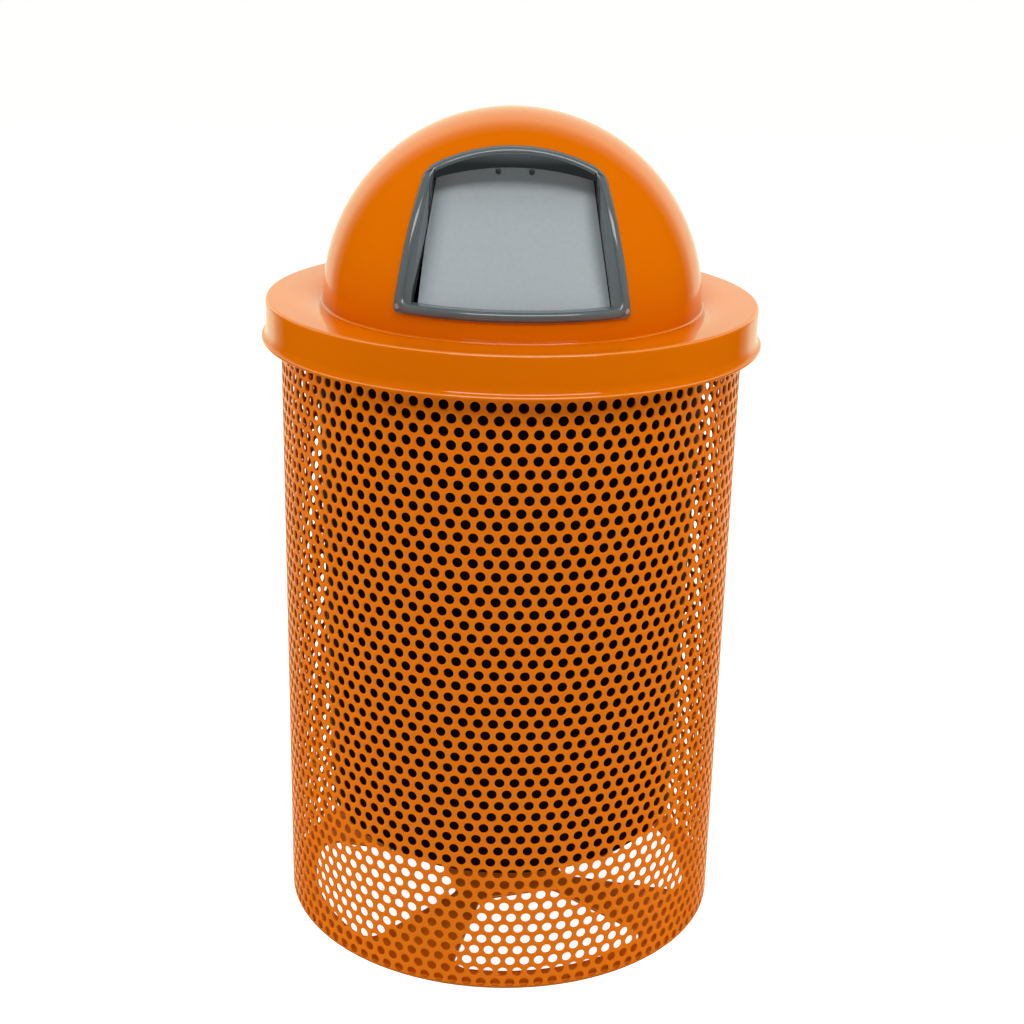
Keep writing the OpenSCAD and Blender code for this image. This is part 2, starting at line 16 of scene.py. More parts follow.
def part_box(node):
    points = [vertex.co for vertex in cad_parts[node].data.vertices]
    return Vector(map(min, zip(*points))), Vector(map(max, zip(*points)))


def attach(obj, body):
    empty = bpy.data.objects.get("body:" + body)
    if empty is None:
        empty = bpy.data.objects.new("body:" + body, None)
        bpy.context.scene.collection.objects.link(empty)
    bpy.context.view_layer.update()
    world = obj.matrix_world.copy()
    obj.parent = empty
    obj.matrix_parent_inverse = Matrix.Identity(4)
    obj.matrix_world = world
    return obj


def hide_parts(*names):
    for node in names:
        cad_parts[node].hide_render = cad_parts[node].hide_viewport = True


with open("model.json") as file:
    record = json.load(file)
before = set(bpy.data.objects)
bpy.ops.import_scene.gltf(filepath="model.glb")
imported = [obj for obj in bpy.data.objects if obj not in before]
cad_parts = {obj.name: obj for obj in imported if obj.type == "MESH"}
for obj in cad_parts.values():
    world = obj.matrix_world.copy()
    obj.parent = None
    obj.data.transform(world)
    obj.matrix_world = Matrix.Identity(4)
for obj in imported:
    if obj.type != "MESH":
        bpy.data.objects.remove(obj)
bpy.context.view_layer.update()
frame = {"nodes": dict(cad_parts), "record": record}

MM = 0.001


# ---------------------------------------------------------------- finishes

def linear(r, g, b):
    """A colour as seen on screen, 0 to 255, as the linear values that shaders take."""
    def one(v):
        v /= 255
        return v / 12.92 if v <= 0.04045 else ((v + 0.055) / 1.055) ** 2.4
    return (one(r), one(g), one(b), 1.0)


def shade(colour, by):
    """A colour made darker or lighter by a factor."""
    return tuple(c * by for c in colour[:3]) + (1.0,)


ORANGE = linear(222, 110, 2)
BASKET_ORANGE = linear(228, 113, 3)
PAINTED_HIGHLIGHT_ORANGE = linear(250, 176, 104)      # painted highlight: the lamps' reflections on the lid's edges, drawn as pale lines
PAINTED_EDGE_HIGHLIGHT = linear(246, 138, 36)         # painted highlight on the basket's sharp edges and the holes' lips
LINER_BLACK = linear(13, 12, 13)
FRAME_GREY = linear(95, 103, 105)
FLAP_GREY = linear(158, 167, 170)
ZINC = linear(205, 207, 210)
RIVET_GREY = linear(225, 226, 228)
SPRING_GREY = linear(140, 140, 142)

# Scales of the noises in the finishes: the higher, the finer
COAT_SCALE, PEEL_SCALE, DUST_SCALE = 4.0, 260.0, 22.0
MOULD_SCALE, GRAIN_SCALE = 6.0, 900.0
SMUDGE_SCALE, DRAWN_SCALE = 60.0, 400.0
DRAWN_STRETCH = (0.1, 1, 1)              # along X, as the hinge lies
NOISE_LOW, NOISE_HIGH = 0.3, 0.7         # values of a noise between which a tint changes

# The lid's painted highlights, pale rings where the lamps' reflections run along its edges: radius and height
# in millimetres, how far each reaches, and how pale it is
HIGHLIGHT_RINGS = [
    (321.1, 861.8, 1.3, 0.75),           # on the shoulder
    (250.6, 856.5, 1.6, 0.5),            # round the dome's foot
    (328.2, 813.6, 1.2, 0.8),            # on the bead's outside
    (326.9, 808.9, 1.0, 0.5),            # low on the bead
]
EDGE_TURN = (0.505, 0.56)                # pointiness where the painted edge highlight begins, and where it is full
# How pale the painted edge highlight gets at most
EDGE_HIGHLIGHT_MOST = 0.6

# The frame's top wall, which carries painted shade: its front face, how near to it still counts, and the
# heights between which it darkens
TOP_WALL_Y, TOP_WALL_NEAR = -141.0 * MM, 0.6 * MM
TOP_WALL_HEAD, TOP_WALL_FOOT = 1072.0 * MM, 1052.0 * MM
# How far the painted shade darkens the wall at its foot
TOP_WALL_SHADE = 0.2

# Sockets of a Mix node that mixes colours, because its sockets for other kinds have the same names
MIX_FACTOR, MIX_A, MIX_B, MIX_RESULT = 0, 6, 7, 2


class Nodes:
    """A node material under construction, round one Principled shader."""

    def __init__(self, name):
        self.mat = bpy.data.materials.new(name)
        self.mat.use_nodes = True
        self.tree = self.mat.node_tree
        self.tree.nodes.clear()
        self.out = self.add("ShaderNodeOutputMaterial")
        self.shader = self.add("ShaderNodeBsdfPrincipled")
        self.link(self.shader, "BSDF", self.out, "Surface")
        self.coords = self.add("ShaderNodeTexCoord")

    def add(self, kind, **values):
        """A new node: each value goes to the socket of its name, or else to the node's own setting."""
        node = self.tree.nodes.new(kind)
        for key, value in values.items():
            if key in node.inputs:
                node.inputs[key].default_value = value
            else:
                setattr(node, key, value)
        return node

    def link(self, source, out, target, into):
        self.tree.links.new(source.outputs[out], target.inputs[into])

    def noise(self, scale, detail=2.0, rough=0.5, stretch=(1, 1, 1)):
        """A noise that is fixed to the object."""
        place = self.add("ShaderNodeMapping")
        place.inputs["Scale"].default_value = stretch
        self.link(self.coords, "Object", place, "Vector")
        node = self.add("ShaderNodeTexNoise", Scale=scale, Detail=detail, Roughness=rough)
        self.link(place, "Vector", node, "Vector")
        return node

    def spread(self, source, out, low, high, start=0.0, end=1.0):
        """A value that goes evenly from low to high while its source goes from start to end."""
        node = self.add("ShaderNodeMapRange")
        for socket, value in (("From Min", start), ("From Max", end), ("To Min", low), ("To Max", high)):
            node.inputs[socket].default_value = value
        self.link(source, out, node, "Value")
        return node

    def tint(self, noise, first, last):
        """A base colour that follows a noise between two stops, each a position and a colour."""
        node = self.add("ShaderNodeValToRGB")
        for stop, (position, colour) in zip(node.color_ramp.elements, (first, last)):
            stop.position = position
            stop.color = colour
        self.link(noise, "Fac", node, "Fac")
        self.link(node, "Color", self.shader, "Base Color")
        return node

    def tint_over(self, tint, mask, colour):
        """Another base colour over the tint, as far as the mask says."""
        mix = self.add("ShaderNodeMix", data_type="RGBA")
        self.link(mask, 0, mix, MIX_FACTOR)
        self.link(tint, "Color", mix, MIX_A)
        mix.inputs[MIX_B].default_value = colour
        self.link(mix, MIX_RESULT, self.shader, "Base Color")

    def gloss(self, noise, low, high):
        """A roughness that follows a noise."""
        self.link(self.spread(noise, "Fac", low, high), "Result", self.shader, "Roughness")

    def relief(self, noise, depth, strength):
        """A fine relief that follows a noise."""
        node = self.add("ShaderNodeBump", Strength=strength, Distance=depth)
        self.link(noise, "Fac", node, "Height")
        self.link(node, "Normal", self.shader, "Normal")

    def set(self, **values):
        """Values of the shader's own sockets."""
        for key, value in values.items():
            self.shader.inputs[key.replace("_", " ")].default_value = value


def painted_highlight_rings(m):
    """Painted highlights: pale rings round the lid, on its shoulder, round the dome's foot, and two on the
    bead.
    """
    place = m.add("ShaderNodeSeparateXYZ")
    flat = m.add("ShaderNodeCombineXYZ")
    across = m.add("ShaderNodeVectorMath", operation="LENGTH")
    section = m.add("ShaderNodeCombineXYZ")
    m.link(m.coords, "Object", place, "Vector")
    for axis in ("X", "Y"):
        m.link(place, axis, flat, axis)
    m.link(flat, "Vector", across, 0)
    m.link(across, "Value", section, "X")
    m.link(place, "Z", section, "Z")
    most = None
    for radius, height, reach, strength in HIGHLIGHT_RINGS:
        away = m.add("ShaderNodeVectorMath", operation="DISTANCE")
        away.inputs[1].default_value = (radius * MM, 0, height * MM)
        m.link(section, "Vector", away, 0)
        near = m.spread(away, "Value", strength, 0, end=reach * MM)
        if most:
            both = m.add("ShaderNodeMath", operation="MAXIMUM")
            m.link(most, 0, both, 0)
            m.link(near, 0, both, 1)
            near = both
        most = near
    return most, PAINTED_HIGHLIGHT_ORANGE


def painted_edge_highlights(m):
    """Painted highlights: a paler tint on sharp edges, such as the holes' lips, from how sharply the surface
    turns.
    """
    turn = m.add("ShaderNodeNewGeometry")
    mask = m.spread(turn, "Pointiness", 0, EDGE_HIGHLIGHT_MOST, *EDGE_TURN)
    return mask, PAINTED_EDGE_HIGHLIGHT


def top_wall_painted_shade(m):
    """Painted shade: a darker tint on the frame's top wall towards its foot, behind the flap's top edge."""
    place = m.add("ShaderNodeSeparateXYZ")
    on_wall = m.add("ShaderNodeMath", operation="COMPARE")
    both = m.add("ShaderNodeMath", operation="MULTIPLY")
    m.link(m.coords, "Object", place, "Vector")
    m.link(place, "Y", on_wall, 0)
    on_wall.inputs[1].default_value = TOP_WALL_Y
    on_wall.inputs[2].default_value = TOP_WALL_NEAR
    depth = m.spread(place, "Z", 0, 1, TOP_WALL_HEAD, TOP_WALL_FOOT)
    m.link(on_wall, 0, both, 0)
    m.link(depth, "Result", both, 1)
    return both, shade(FRAME_GREY, TOP_WALL_SHADE)


def painted(name, colour, rough, level, peel=0.02 * MM, drift=0.02, drift_scale=COAT_SCALE, over=None):
    """Enamel or a fused plastic coat: slight colour drift, orange peel and dust on the gloss."""
    m = Nodes(name)
    wide = m.noise(drift_scale, detail=3.0)
    tint = m.tint(wide, (NOISE_LOW, shade(colour, 1 - drift)), (NOISE_HIGH, shade(colour, 1 + drift)))
    dust = m.noise(DUST_SCALE, detail=5.0, rough=0.65)
    m.gloss(dust, rough * 0.8, rough * 1.25)
    m.relief(m.noise(PEEL_SCALE), peel, 0.6)
    m.set(Specular_IOR_Level=level)
    if over:
        m.tint_over(tint, *over(m))
    return m.mat


def moulded(name, colour, rough, level=0.5, coat=0.0, over=None):
    """Moulded plastic with a fine grain."""
    m = Nodes(name)
    wide = m.noise(MOULD_SCALE, detail=4.0)
    tint = m.tint(wide, (NOISE_LOW, shade(colour, 0.9)), (NOISE_HIGH, shade(colour, 1.12)))
    m.gloss(wide, rough * 0.9, rough * 1.15)
    m.relief(m.noise(GRAIN_SCALE), 0.03 * MM, 0.4)
    m.set(Specular_IOR_Level=level, Coat_Weight=coat, Coat_Roughness=0.08)
    if over:
        m.tint_over(tint, *over(m))
    return m.mat


def metal(name, colour, rough, bare=1.0):
    """Bare or plated metal, drawn along the hinge's length, with smudges."""
    m = Nodes(name)
    smudge = m.noise(SMUDGE_SCALE, detail=4.0, rough=0.6)
    m.tint(smudge, (NOISE_LOW, shade(colour, 0.8)), (0.75, colour))
    m.gloss(smudge, rough * 0.8, rough * 1.3)
    m.relief(m.noise(DRAWN_SCALE, stretch=DRAWN_STRETCH), 0.01 * MM, 0.5)
    m.set(Metallic=bare)
    return m.mat


FINISH = {
    # the basket's coat, with painted highlights on its sharp edges
    "orange_coat": painted("orange_coat", BASKET_ORANGE, 0.2, 0.12, over=painted_edge_highlights),
    # the lid's enamel, with painted highlight rings over it
    "orange_gloss": painted("orange_gloss", ORANGE, 0.03, 0.5, peel=0.003 * MM, over=painted_highlight_rings),
    "black_plastic": moulded("black_plastic", LINER_BLACK, 0.5, level=0.12),
    # the frame's plastic, with painted shade on its top wall
    "grey_frame": moulded("grey_frame", FRAME_GREY, 0.14, coat=0.5, over=top_wall_painted_shade),
    "grey_paint": painted("grey_paint", FLAP_GREY, 0.42, 0.3, peel=0.03 * MM, drift=0.035, drift_scale=170.0),
    "zinc": metal("zinc", ZINC, 0.4, bare=0.6),
    "rivet_metal": metal("rivet_metal", RIVET_GREY, 0.3, bare=0.92),
    "spring_steel": metal("spring_steel", SPRING_GREY, 0.35),
}

SLOT_OF = {s["node"]: s["material_slot"] for s in frame["record"]["subparts"]}
for name, node in frame["nodes"].items():
    node.data.materials.clear()
    node.data.materials.append(FINISH[SLOT_OF[name]])


# ---------------------------------------------------------------- pieces

def mesh_of(name, verts, quads):
    """A mesh from an array of points and one of four-cornered faces."""
    mesh = bpy.data.meshes.new(name)
    mesh.vertices.add(len(verts))
    mesh.vertices.foreach_set("co", np.asarray(verts, float).ravel())
    mesh.loops.add(quads.size)
    mesh.loops.foreach_set("vertex_index", quads.ravel())
    mesh.polygons.add(len(quads))
    mesh.polygons.foreach_set("loop_start", np.arange(0, quads.size, 4))
    mesh.polygons.foreach_set("use_smooth", np.ones(len(quads), bool))
    mesh.update(calc_edges=True)
    mesh.validate()
    return mesh


def placed(name, data):
    """An object in the scene for a mesh, lamp or camera."""
    obj = bpy.data.objects.new(name, data)
    bpy.context.scene.collection.objects.link(obj)
    return obj


def piece(name, verts, quads, slot, body, *replaced):
    """A piece in its slot's finish that rides on a body and hides the nodes it replaces."""
    obj = placed(name, mesh_of(name, verts, quads))
    obj.data.materials.append(FINISH[slot])
    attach(obj, body)
    for node in replaced:
        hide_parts(node)
    return obj


def face_outwards(obj):
    """All faces of a closed piece turned outwards."""
    bm = bmesh.new()
    bm.from_mesh(obj.data)
    bmesh.ops.recalc_face_normals(bm, faces=bm.faces)
    bm.to_mesh(obj.data)
    bm.free()


def grid_faces(rows, cols, wrap_rows=False, wrap_cols=False):
    """Faces between neighbours of a grid of rows by cols points, stored row by row."""
    ids = np.arange(rows * cols).reshape(rows, cols)
    if wrap_rows:
        ids = np.vstack([ids, ids[:1]])
    if wrap_cols:
        ids = np.hstack([ids, ids[:, :1]])
    return np.stack([ids[:-1, :-1], ids[:-1, 1:], ids[1:, 1:], ids[1:, :-1]], 2).reshape(-1, 4)


# ---------------------------------------------------------------- perforated wall

HOLE_COLS = 100
HOLE_D = 12.9 * MM
LIP = 0.9 * MM                     # rounding of a hole's edge by the coating
LIP_MIDDLE = 0.3 * LIP             # distance of that rounding's middle point from either face
EDGE_ROUND = 0.9 * MM              # rounding of the sheet's top and bottom edge
EDGE_MIDDLE = 0.35 * EDGE_ROUND    # distance of that rounding's middle point from either face
EDGE_PLAIN = 1.1 * EDGE_ROUND      # the cells keep this far from the sheet's edges
WALL_T = 2.7 * MM
LOWEST_ROW = 8.6 * MM              # height of the lowest row's middle
ROW_PITCH = 16.375 * MM
HOLE_TURN = -0.49                  # degrees, of the whole pattern round the basket

# A six-sided cell's outline on a fine grid, from the middle of its right side: middles and corners by turns
CELL_U = np.array([2, 2, 1, 0, -1, -2, -2, -2, -1, 0, 1, 2])
CELL_Z = np.array([0, 2, 3, 4, 3, 2, 0, -2, -3, -4, -3, -2])
CELL_POINTS = len(CELL_U)
COL_STEPS, ROW_STEPS = 4, 6        # grid steps from cell to cell in a row, and from row to row
CELL_FOOT, CELL_HEAD = [7, 8, 9, 10], [4, 3, 2, 1]    # a cell's share of its row's lower and upper outline


def rolled(u, z, r, radius):
    """Points of the flat sheet, measured along its outside, rolled up at r from the axis."""
    a = u / radius + math.radians(HOLE_TURN)
    return np.stack([r * np.sin(a), -r * np.cos(a), np.broadcast_to(z, a.shape)], 1)


def perforated_wall():
    """The wall's sheet with all its holes: a ring of staggered six-sided cells, one hole in each."""
    low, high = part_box("basket_wall")
    radius = (high.x - low.x) / 2
    inside = radius - WALL_T
    top = high.z
    rows = int((top - 2 * LOWEST_ROW) / ROW_PITCH) + 1
    step_u = 2 * math.pi * radius / HOLE_COLS / COL_STEPS
    step_z = ROW_PITCH / ROW_STEPS

    # the cells' middles, and the points of their outlines, which neighbours share
    col, row = np.meshgrid(np.arange(HOLE_COLS), np.arange(rows))
    mid_u = (COL_STEPS * col + COL_STEPS // 2 * (row % 2)).reshape(-1, 1)
    mid_z = (ROW_STEPS * row).reshape(-1, 1)
    outlines = np.stack([(mid_u + CELL_U) % (COL_STEPS * HOLE_COLS), mid_z + CELL_Z], 2)
    shared, border = np.unique(outlines.reshape(-1, 2), axis=0, return_inverse=True)
    border = border.reshape(-1, CELL_POINTS)
    border_u = shared[:, 0] * step_u
    border_z = np.clip(LOWEST_ROW + shared[:, 1] * step_z, EDGE_PLAIN, top - EDGE_PLAIN)

    def rings(r):
        """A circle round each cell's middle, with as many points as its outline."""
        turn = np.radians(np.arange(CELL_POINTS) * 360 / CELL_POINTS)
        u = mid_u * step_u + r * np.cos(turn)
        z = LOWEST_ROW + mid_z * step_z + r * np.sin(turn)
        return u.ravel(), z.ravel()

    # each cell from its outline outside, through the hole, to its outline inside
    hole = HOLE_D / 2
    own = np.arange(border.size).reshape(border.shape)
    layers = [
        (border, border_u, border_z, radius),
        (own, *rings(hole + LIP), radius),
        (own, *rings(hole + LIP_MIDDLE), radius - LIP_MIDDLE),
        (own, *rings(hole), radius - LIP),
        (own, *rings(hole), inside + LIP),
        (own, *rings(hole + LIP), inside),
        (border, border_u, border_z, inside),
    ]
    points, loops, faces, count = [], [], [], 0
    for ids, u, z, r in layers:
        points.append(rolled(u, z, r, radius))
        loops.append(ids + count)
        count += len(u)
    for a, b in zip(loops, loops[1:]):
        faces.append(np.stack([a, np.roll(a, -1, 1), np.roll(b, -1, 1), b], 2).reshape(-1, 4))

    # plain strips from the outermost cells to the sheet's edges, round over the edge
    for edge_z, inward, end_row, share in ((0.0, 1, 0, CELL_FOOT), (top, -1, -1, CELL_HEAD)):
        outer, inner = (ids.reshape(rows, HOLE_COLS, CELL_POINTS)[end_row][:, share].ravel()
                        for ids in (loops[0], loops[-1]))
        profile = [
            (radius, edge_z + inward * EDGE_ROUND),
            (radius - EDGE_MIDDLE, edge_z + inward * EDGE_MIDDLE),
            (radius - EDGE_ROUND, edge_z),
            (inside + EDGE_ROUND, edge_z),
            (inside, edge_z + inward * EDGE_ROUND),
        ]
        strip = [outer]
        for r, z in profile:
            points.append(rolled(border_u[outer], z, r, radius))
            strip.append(count + np.arange(len(outer)))
            count += len(outer)
        strip.append(inner)
        for a, b in zip(strip, strip[1:]):
            quads = np.stack([a, b, np.roll(b, -1), np.roll(a, -1)], 1)
            faces.append(quads[:, ::inward])

    piece("basket_skin", np.concatenate(points), np.concatenate(faces),
          "orange_coat", "basket", "basket_wall")


# ---------------------------------------------------------------- lid

# Sizes in millimetres, as in the part's source; the frame's are from the lid's axis and the dome's centre
DOME_R, DOME_Z = 248.5, 857.05
BRIM_Z, BRIM_DISH, BAND_R, LID_T = 863.05, 7.5, 322.5, 2.0
BEAD_AT, BEAD_R = (325.5, 812.05), 3.0
FRAME_W, FRAME_SILL, FRAME_TOP_Y = 285.0, 26.5, 129.0
FRAME_Y = 200.0                         # depth at which the frame's width is measured
FRAME_LEAN, FRAME_DRAFT = 0.13, 0.18
FRAME_CORNER_R, BEAD_FOOT_R = 14.0, 20.0
SEAT_GAP, FRAME_T = 0.3, 3.0
FLANGE_OUT = DOME_R + SEAT_GAP + FRAME_T

# How the brim sags
BRIM_BEND = 4                           # the higher, the closer to the dome the brim sags
BRIM_R = BAND_R - 5.0                   # where the brim starts to sag
BRIM_TO = BAND_R - 6.0                  # where its points end

# Fillets, flare and rolled edge, which the source has otherwise or not at all, and the lid's steps
FILLET_R, SHOULDER_R = 3.5, 4.2         # at the dome's foot, and between brim and band
FILLET_LEAN = 0.95                      # the fillet's slope at the brim, as a share of the brim's steepest
FLARE_H, FLARE_PULL = 13.5, 6.5         # of the hollow flare above the bead's middle, and its upright pull
ROLL_FROM, ROLL_TO = 66, -190           # degrees round the bead's middle that the rolled edge covers
ROLL_PULL = 2.4                         # how far before the bead the flare already points along it
BAND_INSIDE_FROM = 4                    # height above the bead's middle at which the band's inside starts
DOME_STEPS = 70
LID_TURNS = 288
OPENING_INSET = 8.0                     # from the frame's outline in to the edge of the dome's opening
LID_SHARP = 40                          # degrees between faces from which an edge is drawn sharp

# The frame's outline block
BLOCK_FRONT = DOME_R + 20               # depth of its front round corners' middles, clear of the dome
BLOCK_HEAD = DOME_R - 10                # height of its upper round corners' middles
BLOCK_LEAST_R = 2                       # least radius of its upper round corners
BALL_STEP = 11.25                       # degrees between the points of a round corner


def frame_block(inset):
    """The block that outlines the frame, its faces moved in by inset, as a convex hull."""
    def half(y, z):
        return FRAME_W / 2 + FRAME_DRAFT * (y - FRAME_Y) - FRAME_LEAN * (z - FRAME_SILL)

    top_r, foot_r = max(FRAME_CORNER_R - inset, BLOCK_LEAST_R), BEAD_FOOT_R - inset
    ball = [Vector((math.cos(a) * math.cos(b), math.sin(a) * math.cos(b), math.sin(b)))
            for b in np.radians(np.arange(-90, 91, BALL_STEP))
            for a in np.radians(np.arange(0, 360, BALL_STEP))]
    bm = bmesh.new()
    for side in (-1, 1):
        for low in (True, False):
            for front in (True, False):
                r = foot_r if low else top_r
                y = BLOCK_FRONT if front else FRAME_TOP_Y + inset + r
                z = FRAME_SILL + inset + r if low else BLOCK_HEAD
                mid = Vector((side * (half(y, z) - inset - r), -y, z + DOME_Z))
                for point in ball:
                    bm.verts.new(mid + r * point)
    bmesh.ops.remove_doubles(bm, verts=bm.verts, dist=0.001)
    hull = bmesh.ops.convex_hull(bm, input=bm.verts)
    spare = {g for g in hull["geom_interior"] + hull["geom_unused"] if isinstance(g, bmesh.types.BMVert)}
    bmesh.ops.delete(bm, geom=list(spare), context="VERTS")
    bmesh.ops.recalc_face_normals(bm, faces=bm.faces)
    return bm


def lid_profile():
    """The lid's section from the dome's top down outside and back up inside, as (radius, height)."""
    def arc(mid, r, start, end, steps):
        for a in np.radians(np.linspace(start, end, steps)):
            yield mid[0] + r * math.cos(a), mid[1] + r * math.sin(a)

    def brim(r, below=0.0):
        return r, BRIM_Z - below - BRIM_DISH * ((BRIM_R - r) / (BRIM_R - DOME_R)) ** BRIM_BEND

    def bend(a, b, c, d, steps):
        """A curve from a to d that starts towards b and comes from c."""
        for k in np.linspace(0, 1, steps):
            shares = ((1 - k) ** 3, 3 * k * (1 - k) ** 2, 3 * k * k * (1 - k), k ** 3)
            yield tuple(np.dot(shares, (a, b, c, d)))

    lean = math.degrees(math.atan(BRIM_BEND * BRIM_DISH / (BRIM_R - DOME_R))) * FILLET_LEAN
    foot = DOME_R + FILLET_R
    brim_at_foot = brim(foot - FILLET_R * math.sin(math.radians(lean)))[1]
    foot_z = brim_at_foot + FILLET_R * math.cos(math.radians(lean))
    edge = math.degrees(math.asin((foot_z - DOME_Z) / DOME_R))
    corner = (BAND_R - SHOULDER_R, BRIM_Z - SHOULDER_R)
    outer = list(arc((0, DOME_Z), DOME_R, 90, edge, DOME_STEPS))
    outer += arc((foot, foot_z), FILLET_R, 180, 270 - lean, 8)
    outer += [brim(r) for r in np.linspace(foot + 1, BRIM_TO, 16)]
    outer += arc(corner, SHOULDER_R, 90, 0, 11)

    # the band flares out in a hollow curve and rolls over into its bead
    flare_z, over = BEAD_AT[1] + FLARE_H, math.radians(ROLL_FROM)
    roll = (BEAD_AT[0] + BEAD_R * math.cos(over), BEAD_AT[1] + BEAD_R * math.sin(over))
    before = (roll[0] - ROLL_PULL * math.sin(over), roll[1] + ROLL_PULL * math.cos(over))
    hollow = list(bend((BAND_R, flare_z), (BAND_R, flare_z - FLARE_PULL), before, roll, 14))
    outer += [(BAND_R, z) for z in np.linspace(corner[1] - 1, flare_z + 1, 6)]
    outer += hollow[:-1]
    outer += arc(BEAD_AT, BEAD_R, ROLL_FROM, ROLL_TO, 24)

    inner = [(BAND_R - LID_T, z) for z in np.linspace(BEAD_AT[1] + BAND_INSIDE_FROM, corner[1] - 1, 8)]
    inner += arc(corner, SHOULDER_R - LID_T, 0, 90, 7)
    inner += [brim(r, LID_T) for r in np.linspace(BRIM_TO, foot + 1, 12)]
    inner += arc((foot, foot_z), FILLET_R + LID_T, 270 - lean, 180, 8)
    inner += arc((0, DOME_Z), DOME_R - LID_T, edge, 90, DOME_STEPS)
    return np.array(outer + inner)


def cut_opening(lid):
    """The door's opening, cut out of the dome."""
    cutter_mesh = bpy.data.meshes.new("door_opening")
    bm = frame_block(OPENING_INSET)
    bmesh.ops.scale(bm, vec=(MM, MM, MM), verts=bm.verts)
    bm.to_mesh(cutter_mesh)
    bm.free()
    cutter = placed("door_opening", cutter_mesh)
    cut = lid.modifiers.new("cut", "BOOLEAN")
    cut.operation = "DIFFERENCE"
    cut.object = cutter
    cut.solver = "EXACT"
    bpy.context.view_layer.update()
    done = bpy.data.meshes.new_from_object(lid.evaluated_get(bpy.context.evaluated_depsgraph_get()))
    lid.modifiers.clear()
    lid.data = done
    lid.data.name = "lid_skin"
    bpy.data.objects.remove(cutter)


def spun_lid():
    """The lid as one spun shell, with the door's opening cut out of the dome."""
    section = lid_profile() * MM
    a = np.arange(LID_TURNS) * 2 * math.pi / LID_TURNS + math.pi / LID_TURNS
    ring = np.stack([np.sin(a), -np.cos(a)], 1)
    body = section[1:-1]
    verts = np.concatenate([
        np.stack([r * ring[:, 0], r * ring[:, 1], np.full(LID_TURNS, z)], 1) for r, z in body
    ])
    quads = grid_faces(len(body), LID_TURNS, wrap_cols=True)[:, ::-1]
    lid = piece("lid_skin", verts, quads, "orange_gloss", "lid", "lid_shell")

    # the two poles of the dome, outside and inside
    bm = bmesh.new()
    bm.from_mesh(lid.data)
    bm.verts.ensure_lookup_table()
    for first, (_, z) in ((0, section[0]), ((len(body) - 1) * LID_TURNS, section[-1])):
        pole = bm.verts.new((0, 0, z))
        bm.verts.ensure_lookup_table()
        for i in range(LID_TURNS):
            pair = bm.verts[first + i], bm.verts[first + (i + 1) % LID_TURNS]
            bm.faces.new((*pair, pole) if first == 0 else (*pair[::-1], pole)).smooth = True
    bmesh.ops.recalc_face_normals(bm, faces=bm.faces)
    bm.to_mesh(lid.data)
    bm.free()

    cut_opening(lid)
    lid.data.polygons.foreach_set("use_smooth", np.ones(len(lid.data.polygons), bool))
    lid.data.set_sharp_from_angle(angle=math.radians(LID_SHARP))


# ---------------------------------------------------------------- bead round the door frame

# In millimetres: from the frame's outline in to the bead's middle, its half width, and its height
BEAD_INSET, BEAD_HALF_W, BEAD_H = 6.3, 5.2, 3.5
BEAD_AIM = 28                           # degrees above level of a line from the dome's centre to the door
BEAD_SEARCH, BEAD_HALVINGS = 360, 40    # ways out from that line, and steps to the outline along each
BEAD_FARTHEST = 1.2                     # radians from that line, past the outline on every side
BEAD_STEPS, BEAD_SIDES = 480, 28        # points along the bead, and round it
BEAD_SOFTER = 2                         # times that its path is smoothed


def unit(vectors):
    """Rows of an array, each brought to length one."""
    return vectors / np.linalg.norm(vectors, axis=1)[:, None]


def frame_bead():
    """The rounded bead that runs round the door frame's flange."""
    block = frame_block(BEAD_INSET)
    normals = np.array([face.normal for face in block.faces])
    reach = np.array([face.normal.dot(face.verts[0].co) for face in block.faces])
    block.free()
    aim = math.radians(BEAD_AIM)
    mid = np.array([0, -math.cos(aim), math.sin(aim)])
    across = np.array([1.0, 0, 0])
    turn = np.arange(BEAD_SEARCH) * 2 * math.pi / BEAD_SEARCH
    way = np.cos(turn)[:, None] * across + np.sin(turn)[:, None] * np.cross(mid, across)
    centre = np.array([0, 0, DOME_Z])

    def on_flange(angle):
        return centre + FLANGE_OUT * (np.cos(angle)[:, None] * mid + np.sin(angle)[:, None] * way)

    near, far = np.zeros(BEAD_SEARCH), np.full(BEAD_SEARCH, BEAD_FARTHEST)
    for _ in range(BEAD_HALVINGS):
        test = (near + far) / 2
        inside = (on_flange(test) @ normals.T <= reach + 1e-6).all(1)
        near, far = np.where(inside, test, near), np.where(inside, far, test)
    path = on_flange(near)

    # the same path in even steps, with softer corners
    length = np.concatenate([[0], np.cumsum(np.linalg.norm(np.roll(path, -1, 0) - path, axis=1))])
    even = np.linspace(0, length[-1], BEAD_STEPS + 1)[:-1]
    closed = np.vstack([path, path[:1]])
    path = np.stack([np.interp(even, length, closed[:, k]) for k in range(3)], 1)
    for _ in range(BEAD_SOFTER):
        path = (np.roll(path, 1, 0) + 2 * path + np.roll(path, -1, 0)) / 4
    out = unit(path - centre)
    path = centre + FLANGE_OUT * out

    along = unit(np.roll(path, -1, 0) - np.roll(path, 1, 0))
    aside = np.cross(out, along)
    a = np.arange(BEAD_SIDES) * 2 * math.pi / BEAD_SIDES
    verts = (path[:, None] + BEAD_HALF_W * np.cos(a)[None, :, None] * aside[:, None]
             + BEAD_H * np.sin(a)[None, :, None] * out[:, None])
    quads = grid_faces(BEAD_STEPS, BEAD_SIDES, True, True)
    bead = piece("frame_bead", verts.reshape(-1, 3) * MM, quads, "grey_frame", "lid")
    face_outwards(bead)


# ---------------------------------------------------------------- flap

